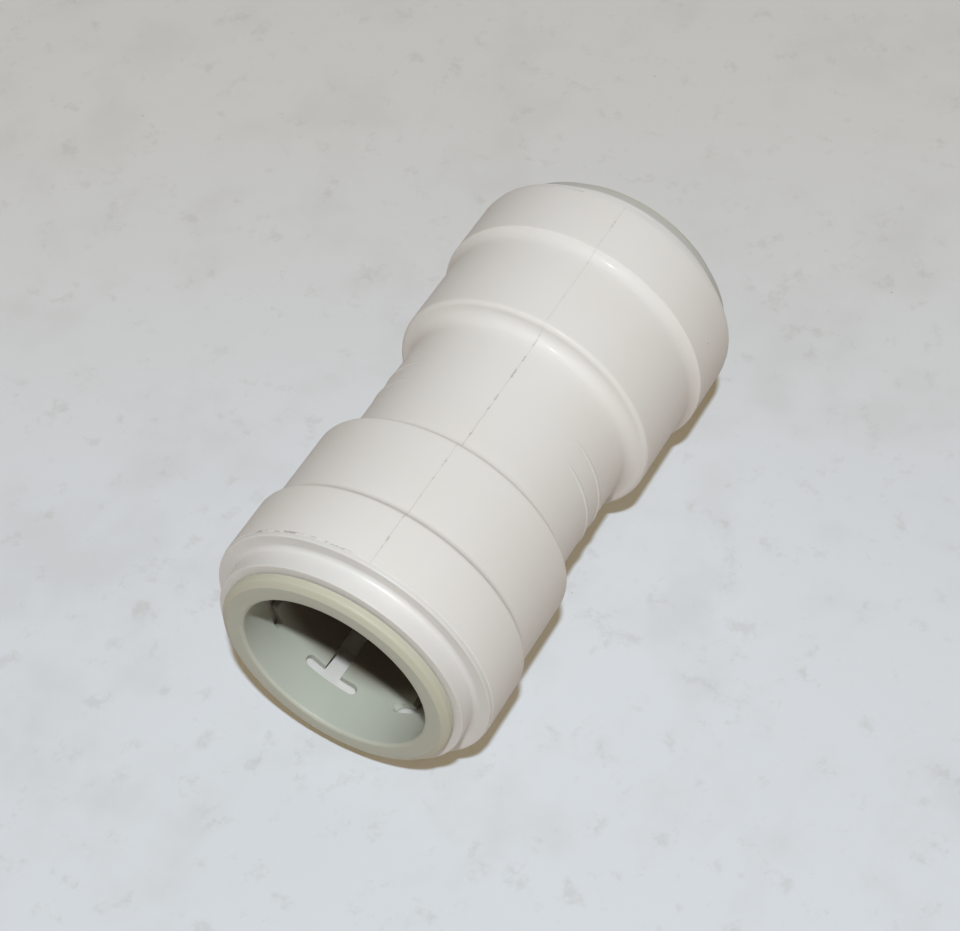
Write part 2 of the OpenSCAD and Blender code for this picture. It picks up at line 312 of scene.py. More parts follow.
def join_copies(part, turns, name):
    """One object of copies of a part, each turned about the tube axis."""
    copies = []
    for turn in turns:
        copy = part.copy()
        copy.data = part.data.copy()
        copy.data.transform(Matrix.Rotation(-turn, 4, "X"))
        bpy.context.collection.objects.link(copy)
        copies.append(copy)
    begin()
    for copy in copies:
        copy.select_set(True)
    bpy.context.view_layer.objects.active = copies[0]
    bpy.ops.object.join()
    bpy.data.objects.remove(part)
    return end_piece(name)


def cut(piece, cutter):
    """Takes the cutter's shape out of a piece."""
    begin()
    piece.select_set(True)
    bpy.context.view_layer.objects.active = piece
    modifier = piece.modifiers.new("cut", "BOOLEAN")
    modifier.operation = "DIFFERENCE"
    modifier.solver = "EXACT"
    modifier.object = cutter
    bpy.ops.object.modifier_apply(modifier=modifier.name)
    bpy.data.objects.remove(cutter)


def block(size, place):
    """A cube primitive of a size, in edit mode."""
    begin()
    bpy.ops.mesh.primitive_cube_add(size=1)
    bpy.ops.object.mode_set(mode="EDIT")
    bpy.ops.mesh.select_mode(type="EDGE")
    bpy.ops.transform.resize(value=size)
    bpy.ops.transform.translate(value=place)


def select_upright_edges(piece):
    """Selects the edges of a block in edit mode that run away from the tube axis."""
    bpy.ops.mesh.select_all(action="DESELECT")
    bpy.ops.object.mode_set(mode="OBJECT")
    for edge in piece.data.edges:
        one, two = (piece.data.vertices[v].co for v in edge.vertices)
        along = (two - one).normalized()
        edge.select = abs(along.z) > UPRIGHT
    bpy.ops.object.mode_set(mode="EDIT")


def place_piece(piece, material, body, slot, *nodes):
    """Gives a piece its material and body, and hides the solids that it stands for. Its slot is not
    used.
    """
    piece.data.materials.clear()
    piece.data.materials.append(material)
    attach(piece, body)
    if nodes:
        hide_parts(*nodes)


# Outlines

def bell_rise(low_r, full_r, full_x, hollow, corner):
    """The rise of a bell to its full width: a hollow curve that runs into a round."""
    turn = math.acos(1 - (full_r - low_r) / (hollow + corner))
    start_x = full_x - (hollow + corner) * math.sin(turn)
    steep = math.degrees(turn)
    return [
        *arc(start_x, low_r + hollow, hollow, -90, steep - 90),
        *arc(full_x, full_r - corner, corner, 90 + steep, 90)[1:],
    ]


def body_outside(size, end):
    """Half section of the body's outside, from its middle to the rim of one end, on the side of +X."""
    if end == "b":
        shoulder_x = size.shoulder_x - size.bell_extra
        step = (size.step_x - size.step_extra, size.step_far_fillet, size.step_far_round)
    else:
        shoulder_x = size.shoulder_x
        step = (size.step_x, size.step_fillet, size.step_round)
    return [
        (0, size.waist_r),
        *bell_rise(size.waist_r, size.mid_r, shoulder_x, size.shoulder_fillet, size.shoulder_round),
        *bell_rise(size.mid_r, size.mouth_r, *step),
        *arc(size.rim_x - size.rim_round, size.mouth_r - size.rim_round, size.rim_round, 90, 0),
    ]


def body_path(size):
    """The body's outside from the rim of end a to the rim of end b."""
    return to_side(body_outside(size, "a")[::-1], -1) + body_outside(size, "b")[1:]


def body_inside(size):
    """Half section of the body's inside, from the rim at end b to its middle."""
    return [
        (size.rim_x, size.seat_r),
        (CAP_LOW.x, size.seat_r),
        (CAP_LOW.x, size.chamber_r),
        (SPACER_LOW.x, size.chamber_r),
        (SPACER_LOW.x, size.gland_r),
        (size.gland_x, size.gland_r),
        (size.gland_x, size.socket_r + size.entry_chamfer),
        (size.gland_x - size.entry_chamfer, size.socket_r),
        (size.stop_x, size.socket_r),
        (size.stop_x, size.waterway_r),
    ]


def cap_outline(size):
    """Half section of the cap at end b."""
    front_x = size.nose_x - size.nose_l
    rim_x = BODY_TOP.x
    entry = settings().body.entry_chamfer
    return [
        (size.inner_x, size.wedge_r),
        (size.inner_x, size.spigot_r),
        (rim_x, size.spigot_r),
        (rim_x, size.rim_r),
        *arc(front_x - size.rim_round, size.rim_r - size.rim_round, size.rim_round, 90, 0),
        *arc(front_x + size.nose_fillet, size.nose_r + size.nose_fillet, size.nose_fillet, 180, 270),
        *arc(size.nose_x - size.nose_round, size.nose_r - size.nose_round, size.nose_round, 90, 0),
        (size.nose_x, size.neck_r + entry),
        (size.nose_x - entry, size.neck_r),
        (size.inner_x + size.wedge_l, size.neck_r),
    ]


def collet_outline(size):
    """Half section of the collet at end b, before it is slotted."""
    flange_x = size.face_x - size.flange_t
    land_x = size.tip_x + size.barb_lead
    land_end_x = land_x + size.barb_land
    barb_end_x = land_end_x + size.barb_l
    edge = size.edge_round
    slope = math.atan2(size.chamfer_r, size.chamfer_x)
    steep = math.degrees(slope)
    side = size.side_round
    side_bend = side * math.tan(slope / 2)
    face_bend = edge * math.tan(math.pi / 4 - slope / 2)
    return [
        (size.tip_x, size.bore_r + size.finger_flare),
        (size.tip_x, size.tip_r),
        (land_x, size.barb_r),
        (land_end_x, size.barb_r),
        (barb_end_x, size.sleeve_r),
        (flange_x, size.sleeve_r),
        *arc(flange_x + edge, size.flange_r - edge, edge, 180, 90),
        *arc(size.face_x - size.chamfer_x - side_bend, size.flange_r - side, side, 90, 90 - steep),
        *arc(size.face_x - edge, size.flange_r - size.chamfer_r - face_bend, edge, 90 - steep, 0),
        *arc(size.face_x - size.lip_round, size.bore_r + size.lip_round, size.lip_round, 0, -90),
        (size.face_x - size.guide_l, size.bore_r),
    ]


# Shader helpers

NODE_COLUMN = 180
NODE_ROW = 200
NODE_ROWS = 4


class Nodes:
    """Adds nodes to one tree and links them."""

    def __init__(self, tree):
        self.tree = tree
        self.count = 0

    def add(self, kind, inputs=None, **properties):
        """Adds a node, sets its properties, and sets or links its inputs."""
        node = self.tree.nodes.new(kind)
        self.count += 1
        node.location = (self.count * NODE_COLUMN, self.count % NODE_ROWS * -NODE_ROW)
        for name, value in properties.items():
            setattr(node, name, value)
        self.fill(node, inputs or {})
        return node

    def fill(self, node, inputs):
        """Sets or links inputs of a node, by their names or numbers."""
        for name, value in inputs.items():
            self.put(node.inputs[name], value)

    def put(self, socket, value):
        """Links an input to another node's output, or sets its value."""
        if isinstance(value, bpy.types.NodeSocket):
            self.tree.links.new(value, socket)
        else:
            socket.default_value = value

    def math(self, operation, first, second=0.0, clamp=False):
        """The result of a Math node."""
        node = self.add(
            "ShaderNodeMath", {0: first, 1: second}, operation=operation, use_clamp=clamp
        )
        return node.outputs[0]

    def times(self, first, second):
        """The product of two values."""
        return self.math("MULTIPLY", first, second)

    def plus(self, first, second, clamp=False):
        """The sum of two values."""
        return self.math("ADD", first, second, clamp)

    def minus(self, first, second):
        """The difference of two values."""
        return self.math("SUBTRACT", first, second)

    def largest(self, first, second):
        """The larger of two values."""
        return self.math("MAXIMUM", first, second)

    def ramp(self, value, span, results=(0.0, 1.0)):
        """A smooth step over a span of the value, from the first result to the second."""
        inputs = {"Value": value}
        inputs["From Min"], inputs["From Max"] = span
        inputs["To Min"], inputs["To Max"] = results
        node = self.add("ShaderNodeMapRange", inputs, interpolation_type="SMOOTHSTEP")
        return node.outputs["Result"]

    def noise(self, vector, scale, detail=2.0, roughness=0.5):
        """A noise value."""
        inputs = {"Vector": vector, "Scale": scale, "Detail": detail, "Roughness": roughness}
        return self.add("ShaderNodeTexNoise", inputs).outputs["Fac"]

    def split(self, vector):
        """The X, Y and Z of a vector."""
        return self.add("ShaderNodeSeparateXYZ", {"Vector": vector}).outputs

    def bump(self, height, strength, distance):
        """A normal that follows a height."""
        inputs = {"Height": height, "Strength": strength, "Distance": distance}
        return self.add("ShaderNodeBump", inputs).outputs["Normal"]

    def mix(self, factor, first, second):
        """A mix of two colours."""
        node = self.add("ShaderNodeMix", data_type="RGBA")
        for name, value in (("Factor_Float", factor), ("A_Color", first), ("B_Color", second)):
            self.put(next(s for s in node.inputs if s.identifier == name), value)
        return next(s for s in node.outputs if s.identifier == "Result_Color")


def rgba(colour_parts):
    """A colour as a socket takes it."""
    return (*colour_parts, 1.0)


def tone(colour_parts, share):
    """A lighter or darker tone of a colour, as a socket takes it."""
    return rgba(share * part for part in colour_parts)


BLACK = rgba((0.0, 0.0, 0.0))


# Effects that the finishes share

WAVE_SHARE = 0.6
SPECK_WOBBLE = 0.4 * MM

# The parting line: its width, how far it wanders, how wide its thin runs are, how much its knots
# widen and darken it, and where it gets fainter towards end a and end b
PARTING_WIDTH = 0.09 * MM
PARTING_WANDER = 0.25 * MM
PARTING_THIN = 0.8
KNOT_WIDER = 1.5
KNOT_DARKER = 0.4
FADE_A = (-14 * MM, -10 * MM)
FADE_B = (6 * MM, 14 * MM)

# The scuffs: their width, and how far they are drawn out round the edge
SCUFF_WIDTH = 0.22 * MM
SCUFF_DRAWN = 4 * MM


def new_group(name, values, outputs):
    """A node group that reads a place and values: its helper, its inputs and its output node."""
    tree = bpy.data.node_groups.new(name, "ShaderNodeTree")
    tree.interface.new_socket("Vector", in_out="INPUT", socket_type="NodeSocketVector")
    for socket, value in values.items():
        made = tree.interface.new_socket(socket, in_out="INPUT", socket_type="NodeSocketFloat")
        made.default_value = value
    for socket in outputs:
        tree.interface.new_socket(socket, in_out="OUTPUT", socket_type="NodeSocketFloat")
    entry = tree.nodes.new("NodeGroupInput")
    leave = tree.nodes.new("NodeGroupOutput")
    return Nodes(tree), entry.outputs, leave


def moulded_grain_group():
    """Moulded plastic: slow patches, fine grain and the height of both."""
    nodes, entry, leave = new_group(
        "moulded_grain", {"Scale": 5000.0}, ["Patches", "Grain", "Height"]
    )
    patches = nodes.noise(entry["Vector"], scale=85.0, detail=3.0)
    waves = nodes.noise(entry["Vector"], scale=260.0, detail=1.0)
    grain = nodes.noise(entry["Vector"], scale=entry["Scale"], detail=2.0, roughness=0.6)
    height = nodes.plus(nodes.times(waves, WAVE_SHARE), nodes.times(grain, 1 - WAVE_SHARE))
    nodes.fill(leave, {
        "Patches": nodes.ramp(patches, span=(0.35, 0.68)),
        "Grain": grain,
        "Height": height,
    })
    return nodes.tree


def axis_place_group():
    """Where a point lies on a turned piece: along the tube axis, from the middle, and out from it."""
    nodes, entry, leave = new_group("axis_place", {}, ["Along", "Radius"])
    x, y, z = nodes.split(entry["Vector"])
    squares = nodes.plus(nodes.times(y, y), nodes.times(z, z))
    nodes.fill(leave, {"Along": nodes.math("ABSOLUTE", x), "Radius": nodes.math("SQRT", squares)})
    return nodes.tree


def specks_group():
    """A few small dark specks, at random places."""
    nodes, entry, leave = new_group(
        "specks", {"Cells": 160.0, "Rarity": 0.9, "Size": 0.04}, ["Mask"]
    )
    where = entry["Vector"]
    wobble = nodes.add("ShaderNodeTexNoise", {"Vector": where, "Scale": 2600.0, "Detail": 1.0})
    bend = nodes.add(
        "ShaderNodeVectorMath", {"Vector": wobble.outputs["Color"], "Scale": SPECK_WOBBLE},
        operation="SCALE",
    )
    bent = nodes.add("ShaderNodeVectorMath", {0: where, 1: bend.outputs["Vector"]}, operation="ADD")
    cells = nodes.add(
        "ShaderNodeTexVoronoi", {"Vector": bent.outputs["Vector"], "Scale": entry["Cells"]}
    ).outputs
    pick = nodes.add("ShaderNodeSeparateColor", {"Color": cells["Color"]}).outputs
    rare = nodes.math("GREATER_THAN", pick["Red"], entry["Rarity"])
    reach = nodes.times(entry["Size"], pick["Green"])
    near = nodes.math("LESS_THAN", cells["Distance"], reach)
    nodes.fill(leave, {"Mask": nodes.times(rare, near)})
    return nodes.tree


def parting_line_group():
    """The mould's parting line: a thin broken line in a plane through the tube axis."""
    nodes, entry, leave = new_group("parting_line", {"Turn": 0.0, "Width": PARTING_WIDTH}, ["Mask"])
    where = entry["Vector"]
    x, y, z = nodes.split(where)
    aside = nodes.minus(
        nodes.times(y, nodes.math("COSINE", entry["Turn"])),
        nodes.times(z, nodes.math("SINE", entry["Turn"])),
    )
    waver = nodes.minus(nodes.noise(where, scale=700.0, detail=3.0), 0.5)
    away = nodes.math("ABSOLUTE", nodes.plus(aside, nodes.times(waver, PARTING_WANDER)))
    knots = nodes.ramp(nodes.noise(where, scale=900.0, detail=2.0), span=(0.54, 0.66))
    swell = nodes.plus(nodes.times(knots, KNOT_WIDER), PARTING_THIN)
    share = nodes.math("DIVIDE", away, nodes.times(entry["Width"], swell))
    line = nodes.ramp(share, span=(0.35, 1.0), results=(1.0, 0.0))
    breaks = nodes.noise(where, scale=170.0, detail=3.0)
    broken = nodes.ramp(breaks, span=(0.36, 0.62), results=(0.3, 0.6))
    strength = nodes.plus(broken, nodes.times(knots, KNOT_DARKER), clamp=True)
    fade_a = nodes.ramp(x, FADE_A, results=(0.85, 1.0))
    fade_b = nodes.ramp(x, FADE_B, results=(1.0, 0.4))
    mask = nodes.times(nodes.times(line, strength), nodes.times(fade_a, fade_b))
    nodes.fill(leave, {"Mask": mask})
    return nodes.tree


def mouth_scuffs_group():
    """A run of broken scuffs along the edge of one mouth."""
    nodes, entry, leave = new_group(
        "mouth_scuffs", {"Edge": 0.0, "Width": SCUFF_WIDTH, "Turn": 0.0, "Spread": 0.3}, ["Mask"]
    )
    x, y, z = nodes.split(entry["Vector"])
    away = nodes.math("ABSOLUTE", nodes.minus(x, entry["Edge"]))
    across = nodes.math("DIVIDE", away, entry["Width"])
    band = nodes.ramp(across, span=(0.3, 1.0), results=(1.0, 0.0))
    turn = nodes.math("ARCTAN2", y, z)
    aside = nodes.math("ABSOLUTE", nodes.minus(turn, entry["Turn"]))
    round_edge = nodes.math("DIVIDE", aside, entry["Spread"])
    run = nodes.ramp(round_edge, span=(0.7, 1.0), results=(1.0, 0.0))
    flat = nodes.add("ShaderNodeCombineXYZ", {"X": x, "Y": nodes.times(turn, SCUFF_DRAWN)})
    bits = nodes.noise(flat.outputs["Vector"], scale=2200.0, detail=4.0, roughness=0.75)
    broken = nodes.ramp(bits, span=(0.45, 0.6))
    nodes.fill(leave, {"Mask": nodes.times(band, nodes.times(run, broken))})
    return nodes.tree


GROUP_MAKERS = {
    "axis_place": axis_place_group,
    "moulded_grain": moulded_grain_group,
    "specks": specks_group,
    "parting_line": parting_line_group,
    "mouth_scuffs": mouth_scuffs_group,
}


def effect(nodes, name, where, **values):
    """Places a shared effect in a material, with its own values."""
    tree = bpy.data.node_groups.get(name) or GROUP_MAKERS[name]()
    return nodes.add("ShaderNodeGroup", {"Vector": where, **values}, node_tree=tree).outputs


# Finishes

# Roughness of each finish, from the low to the high spots of its grain, and the span of the grain
BODY_ROUGHNESS = (0.54, 0.63)
CAP_ROUGHNESS = (0.38, 0.47)
COLLET_ROUGHNESS = (0.48, 0.58)
SEAL_ROUGHNESS = (0.32, 0.50)
SPACER_ROUGHNESS = (0.45, 0.60)
TOOTH_ROUGHNESS = (0.24, 0.40)
TABLE_ROUGHNESS = (0.50, 0.60)
GRAIN_SPAN = (0.3, 0.7)

# How far dirt covers what it lies on, where 1 hides it, and how much rougher dirt is
SPECK_DIRT = 0.5
COLLET_SPECK_DIRT = 0.45
TABLE_SPECK_DIRT = 0.4
PARTING_DIRT = 0.46
SCUFF_DIRT = 0.6
DIRT_ROUGHER = 0.3

# How far the second tone of a finish shows, and the second tones as shares of the first
WARM_SHARE = 0.7
SEAL_GREY_SHARE = 0.35
CLOUD_SHARE = 0.2
STREAK_SHARE = 0.3
SEAL_GREY = 4
SPACER_WORN = 0.85
TOOTH_DULL = 0.75
TABLE_SPECK = 0.55

# Scuffs on the mouths' edges: the end, the angle from the top and the spread to each side, in degrees
SCUFFS = ((ENDS["a"], 22, 27), (ENDS["b"], 13, 5))
SCUFF_INSET = 0.04 * MM

# How far behind the nose's front the painted shade on the nose at end b starts and is full, and how
# strong it then is
NOSE_SHADE_START = 1.3 * MM
NOSE_SHADE_FULL = 0.8 * MM
NOSE_SHADE_SHARE = 0.9

# The yellowed plastic of a collet: how strong it is on the face, and the blur of its edge
AGED_FACE = 0.25
AGED_BLUR = 0.2 * MM

# How far behind the cross slots the painted shade deep in a collet's bore starts and is full, and how
# strong it then is
DEEP_SHADE_START = 0.5 * MM
DEEP_SHADE_FULL = 4 * MM
DEEP_SHADE_SHARE = 0.85

# Where the table top goes from its far colour, darkened with painted shade, to its near colour, towards
# the camera
TABLE_FADE = (-0.11, 0.03)


def new_material(name):
    """A material with a Principled BSDF, and a helper for its nodes."""
    material = bpy.data.materials.new(name)
    material.use_nodes = True
    material.node_tree.nodes.clear()
    nodes = Nodes(material.node_tree)
    shader = nodes.add("ShaderNodeBsdfPrincipled")
    nodes.add("ShaderNodeOutputMaterial", {"Surface": shader.outputs["BSDF"]})
    where = nodes.add("ShaderNodeTexCoord").outputs["Object"]
    return material, nodes, shader, where


def seen_rays(nodes):
    """1 for the rays that show a thing itself: from the camera, in a reflection and through glass."""
    path = nodes.add("ShaderNodeLightPath").outputs
    seen = nodes.largest(path["Is Camera Ray"], path["Is Glossy Ray"])
    return nodes.largest(seen, path["Is Transmission Ray"])


def white_plastic(name, pale, warm, roughness, marks):
    """Moulded white plastic with grime, and with the marks of the body or else painted shade on the
    nose of a cap at end b.
    """
    material, nodes, shader, where = new_material(name)
    finish = settings().finish
    grain = effect(nodes, "moulded_grain", where)
    specks = effect(nodes, "specks", where)
    surface = nodes.mix(nodes.times(grain["Patches"], WARM_SHARE), rgba(pale), rgba(warm))
    dirt = nodes.times(specks["Mask"], SPECK_DIRT)
    if marks:
        size = settings().body
        line = effect(nodes, "parting_line", where, Turn=size.parting_turn)
        dirt = nodes.largest(dirt, nodes.times(line["Mask"], PARTING_DIRT))
        edge = size.rim_x - SCUFF_INSET
        for side, turn, spread in SCUFFS:
            scuffs = effect(
                nodes, "mouth_scuffs", where,
                Edge=side * edge, Turn=math.radians(turn), Spread=math.radians(spread),
            )
            dirt = nodes.largest(dirt, nodes.times(scuffs["Mask"], SCUFF_DIRT))
    else:
        # Painted shade: the nose of the cap at end b turns grey towards its front
        nose_x = settings().cap.nose_x
        span = (nose_x - NOSE_SHADE_START, nose_x - NOSE_SHADE_FULL)
        painted_nose_shade = nodes.ramp(nodes.split(where)["X"], span, results=(0.0, NOSE_SHADE_SHARE))
        surface = nodes.mix(painted_nose_shade, surface, rgba(finish.painted_nose_shade))
    rough = nodes.ramp(grain["Grain"], GRAIN_SPAN, roughness)
    nodes.fill(shader, {
        "Base Color": nodes.mix(dirt, surface, rgba(finish.grime)),
        "Roughness": nodes.plus(rough, nodes.times(dirt, DIRT_ROUGHER)),
        "Normal": nodes.bump(grain["Height"], strength=0.12, distance=0.05 * MM),
        "IOR": 1.5,
        "Coat Weight": 0.05,
        "Coat Roughness": 0.16,
        "Subsurface Weight": 0.12,
        "Subsurface Radius": (1.2, 1.0, 0.9),
        "Subsurface Scale": 0.8 * MM,
    })
    return material


def collet_plastic():
    """Grey-green plastic of the collets, yellowed round the flange and darkened deep in the bore with
    painted shade.
    """
    material, nodes, shader, where = new_material("collet_plastic")
    finish = settings().finish
    size = settings().collet
    grain = effect(nodes, "moulded_grain", where, Scale=4200.0)
    specks = effect(nodes, "specks", where, Cells=260.0, Rarity=0.93, Size=0.05)
    place = effect(nodes, "axis_place", where)
    surface = nodes.mix(grain["Patches"], rgba(finish.collet), rgba(finish.collet_dark))
    lip_span = (size.face_x - size.lip_round, size.face_x)
    front = nodes.ramp(place["Along"], lip_span, results=(0.0, AGED_FACE))
    face_r = size.flange_r - size.chamfer_r
    outside = nodes.ramp(place["Radius"], span=(face_r - AGED_BLUR, face_r + AGED_BLUR))
    surface = nodes.mix(nodes.largest(front, outside), surface, rgba(finish.collet_aged))
    # Painted shade: the plastic turns dark brown deep in the bore, beyond the cross slots
    cross_x = size.face_x - size.cross_depth
    deep_shade_span = (cross_x - DEEP_SHADE_FULL, cross_x - DEEP_SHADE_START)
    deep_shade = nodes.ramp(place["Along"], deep_shade_span, results=(DEEP_SHADE_SHARE, 0.0))
    surface = nodes.mix(deep_shade, surface, rgba(finish.collet_deep_shade))
    dirt = nodes.times(specks["Mask"], COLLET_SPECK_DIRT)
    nodes.fill(shader, {
        "Base Color": nodes.mix(dirt, surface, rgba(finish.grime)),
        "Roughness": nodes.ramp(grain["Grain"], GRAIN_SPAN, COLLET_ROUGHNESS),
        "Normal": nodes.bump(grain["Height"], strength=0.12, distance=0.05 * MM),
        "IOR": 1.48,
        "Subsurface Weight": 0.2,
        "Subsurface Radius": (1.0, 1.0, 0.7),
        "Subsurface Scale": 1.0 * MM,
    })
    return material


def seal_rubber():
    """Black rubber of the O-rings, with a greased shine."""
    material, nodes, shader, where = new_material("seal_rubber")
    seal = settings().finish.seal
    grain = effect(nodes, "moulded_grain", where, Scale=3000.0)
    patches = nodes.times(grain["Patches"], SEAL_GREY_SHARE)
    nodes.fill(shader, {
        "Base Color": nodes.mix(patches, rgba(seal), tone(seal, SEAL_GREY)),
        "Roughness": nodes.ramp(grain["Grain"], GRAIN_SPAN, SEAL_ROUGHNESS),
        "Normal": nodes.bump(grain["Height"], strength=0.2, distance=0.04 * MM),
    })
    return material


def spacer_plastic():
    """Dull off-white plastic of the spacer rings."""
    material, nodes, shader, where = new_material("spacer_plastic")
    spacer = settings().finish.spacer
    grain = effect(nodes, "moulded_grain", where, Scale=3600.0)
    nodes.fill(shader, {
        "Base Color": nodes.mix(grain["Patches"], rgba(spacer), tone(spacer, SPACER_WORN)),
        "Roughness": nodes.ramp(grain["Grain"], GRAIN_SPAN, SPACER_ROUGHNESS),
        "Normal": nodes.bump(grain["Height"], strength=0.15, distance=0.05 * MM),
    })
    return material


def tooth_steel():
    """Stamped stainless steel of the teeth, brushed along the tube axis."""
    material, nodes, shader, where = new_material("tooth_steel")
    tooth = settings().finish.tooth
    stretch = nodes.add("ShaderNodeMapping", {"Vector": where, "Scale": (300.0, 9000.0, 9000.0)})
    strokes = nodes.noise(stretch.outputs["Vector"], scale=1.0, detail=3.0)
    nodes.fill(shader, {
        "Base Color": nodes.mix(strokes, rgba(tooth), tone(tooth, TOOTH_DULL)),
        "Roughness": nodes.ramp(strokes, GRAIN_SPAN, TOOTH_ROUGHNESS),
        "Normal": nodes.bump(strokes, strength=0.15, distance=0.02 * MM),
        "Metallic": 1.0,
    })
    return material


def table_top():
    """Pale painted table top with faint smudges, painted shade that darkens it away from the camera,
    and a painted warm glow that lifts its shadows. The light that it gives back has its own colour.
    """
    material, nodes, shader, where = new_material("table_top")
    finish = settings().finish
    x, y, _ = nodes.split(where)
    towards = nodes.minus(
        nodes.times(x, math.sin(CAMERA_AZIMUTH)), nodes.times(y, math.cos(CAMERA_AZIMUTH))
    )
    # Painted shade: the paint darkens away from the camera
    far_shaded_paint = nodes.mix(nodes.ramp(towards, TABLE_FADE), rgba(finish.floor_far_shade), rgba(finish.floor))
    clouds = nodes.ramp(nodes.noise(where, scale=70.0, detail=4.0), span=(0.45, 0.75))
    marks = nodes.noise(where, scale=240.0, detail=4.0, roughness=0.65)
    streaks = nodes.ramp(marks, span=(0.56, 0.74))
    smudge = nodes.plus(nodes.times(clouds, CLOUD_SHARE), nodes.times(streaks, STREAK_SHARE))
    surface = nodes.mix(smudge, far_shaded_paint, rgba(finish.floor_mark))
    specks = effect(nodes, "specks", where, Cells=150.0, Rarity=0.8, Size=0.045)
    dirt = nodes.times(specks["Mask"], TABLE_SPECK_DIRT)
    speckled = nodes.mix(dirt, surface, tone(finish.floor_mark, TABLE_SPECK))
    paint_height = nodes.noise(where, scale=900.0, detail=3.0)
    seen = seen_rays(nodes)
    nodes.fill(shader, {
        "Base Color": nodes.mix(seen, rgba(finish.floor_bounce), speckled),
        # Painted light: the table top glows warm where it is seen, lifting its shadows
        "Emission Color": nodes.mix(seen, BLACK, rgba(finish.floor_painted_glow)),
        "Emission Strength": 1.0,
        "Roughness": nodes.ramp(streaks, span=(0.0, 1.0), results=TABLE_ROUGHNESS),
        "Normal": nodes.bump(paint_height, strength=0.1, distance=0.1 * MM),
        "IOR": 1.3,
    })
    return material


# Stage

TABLE_SIZE = 6
TABLE_CELLS = 8
KEY_PLACE = Vector((-0.300, -0.178, 0.724))
KEY_SIZE = 0.034
KEY_ENERGY = 5.25
ROOM_STRENGTH = 0.132
SENSOR_WIDTH = 36
NEAREST = 0.01
FARTHEST = 20


# Operators

class CouplingOperator:
    """Options that the coupling's operators share"""

    bl_options = {"REGISTER", "UNDO"}


class MakeBody(CouplingOperator, Operator):
    """Turns the body from its half section and replaces the plain solid"""

    bl_idname = "coupling.make_body"
    bl_label = "Body"

    def execute(self, context):
        size = settings().body
        inside = body_inside(size)
        outline = body_path(size) + inside + to_side(inside[::-1], -1)
        body = lathe("coupling_body", outline)
        finish = settings().finish
        material = white_plastic("body_plastic", finish.body, finish.body_warm, BODY_ROUGHNESS, True)
        place_piece(body, material, "body", "body_white", "body")
        return {"FINISHED"}


class MakeMarks(CouplingOperator, Operator):
    """Adds the raised depth marks on both sides of the waist"""

    bl_idname = "coupling.make_marks"
    bl_label = "Depth marks"

    def execute(self, context):
        size = settings().body
        material = bpy.data.materials["body_plastic"]
        for side_name, side in (("left", 1), ("right", -1)):
            for half_name, half in (("near", -1), ("far", 1)):
                begin()
                x = half * size.mark_pitch / 2
                bpy.ops.mesh.primitive_circle_add(
                    vertices=MARK_STEPS, radius=size.mark_w / 2, fill_type="NGON",
                    location=(x, 0, size.waist_r - size.mark_fade), rotation=(math.pi / 2, 0, 0),
                )
                bpy.context.object.scale.y = 2 * size.mark_h / size.mark_w
                bpy.ops.object.transform_apply(location=True, rotation=True, scale=True)
                middle = size.parting_turn + side * math.pi / 2
                centre = radial(0, size.mark_fade, middle)
                to_start = Matrix.Rotation(size.mark_arc / 2 - middle, 4, "X")
                bpy.context.object.data.transform(Matrix.Translation(centre) @ to_start)
                bpy.ops.object.mode_set(mode="EDIT")
                bpy.ops.mesh.select_all(action="SELECT")
                bpy.ops.mesh.spin(
                    steps=MARK_SWEEP_STEPS, angle=size.mark_arc, center=centre, axis=(1, 0, 0)
                )
                close_mesh()
                mark = end_piece(f"depth_mark_{side_name}_{half_name}")
                bpy.ops.object.shade_smooth_by_angle(angle=SMOOTH_ANGLE)
                place_piece(mark, material, "body", "body_white")
        return {"FINISHED"}


class MakePartingBeads(CouplingOperator, Operator):
    """Lays the fine bead of the mould's parting line along the top and the bottom"""

    bl_idname = "coupling.make_parting_beads"
    bl_label = "Parting beads"

    def execute(self, context):
        size = settings().body
        path = body_path(size)
        sunk = PARTING_SUNK * size.parting_r
        material = bpy.data.materials["body_plastic"]
        for name, turn in (("top", size.parting_turn), ("bottom", size.parting_turn + math.pi)):
            begin()
            bpy.ops.curve.primitive_nurbs_path_add()
            curve = bpy.context.object.data
            curve.splines.clear()
            spline = curve.splines.new("POLY")
            spline.points.add(len(path) - 1)
            for point, (x, radius) in zip(spline.points, path):
                point.co = (*radial(x, radius - sunk, turn), 1)
            curve.bevel_depth = size.parting_r
            curve.bevel_resolution = 2
            curve.use_fill_caps = True
            bpy.ops.object.convert(target="MESH")
            bead = end_piece(f"parting_bead_{name}")
            bpy.ops.object.mode_set(mode="EDIT")
            close_mesh()
            bpy.ops.object.mode_set(mode="OBJECT")
            bpy.ops.object.shade_smooth()
            place_piece(bead, material, "body", "body_white")
        return {"FINISHED"}


class MakeCaps(CouplingOperator, Operator):
    """Turns both caps from their half section and replaces the plain solids"""

    bl_idname = "coupling.make_caps"
    bl_label = "Caps"

    def execute(self, context):
        finish = settings().finish
        material = white_plastic("cap_plastic", finish.cap, finish.body, CAP_ROUGHNESS, False)
        for end, side in ENDS.items():
            cap = lathe(f"retaining_cap_{end}", to_side(cap_outline(settings().cap), side))
            place_piece(cap, material, "body", "cap_white", f"cap_{end}")
        return {"FINISHED"}


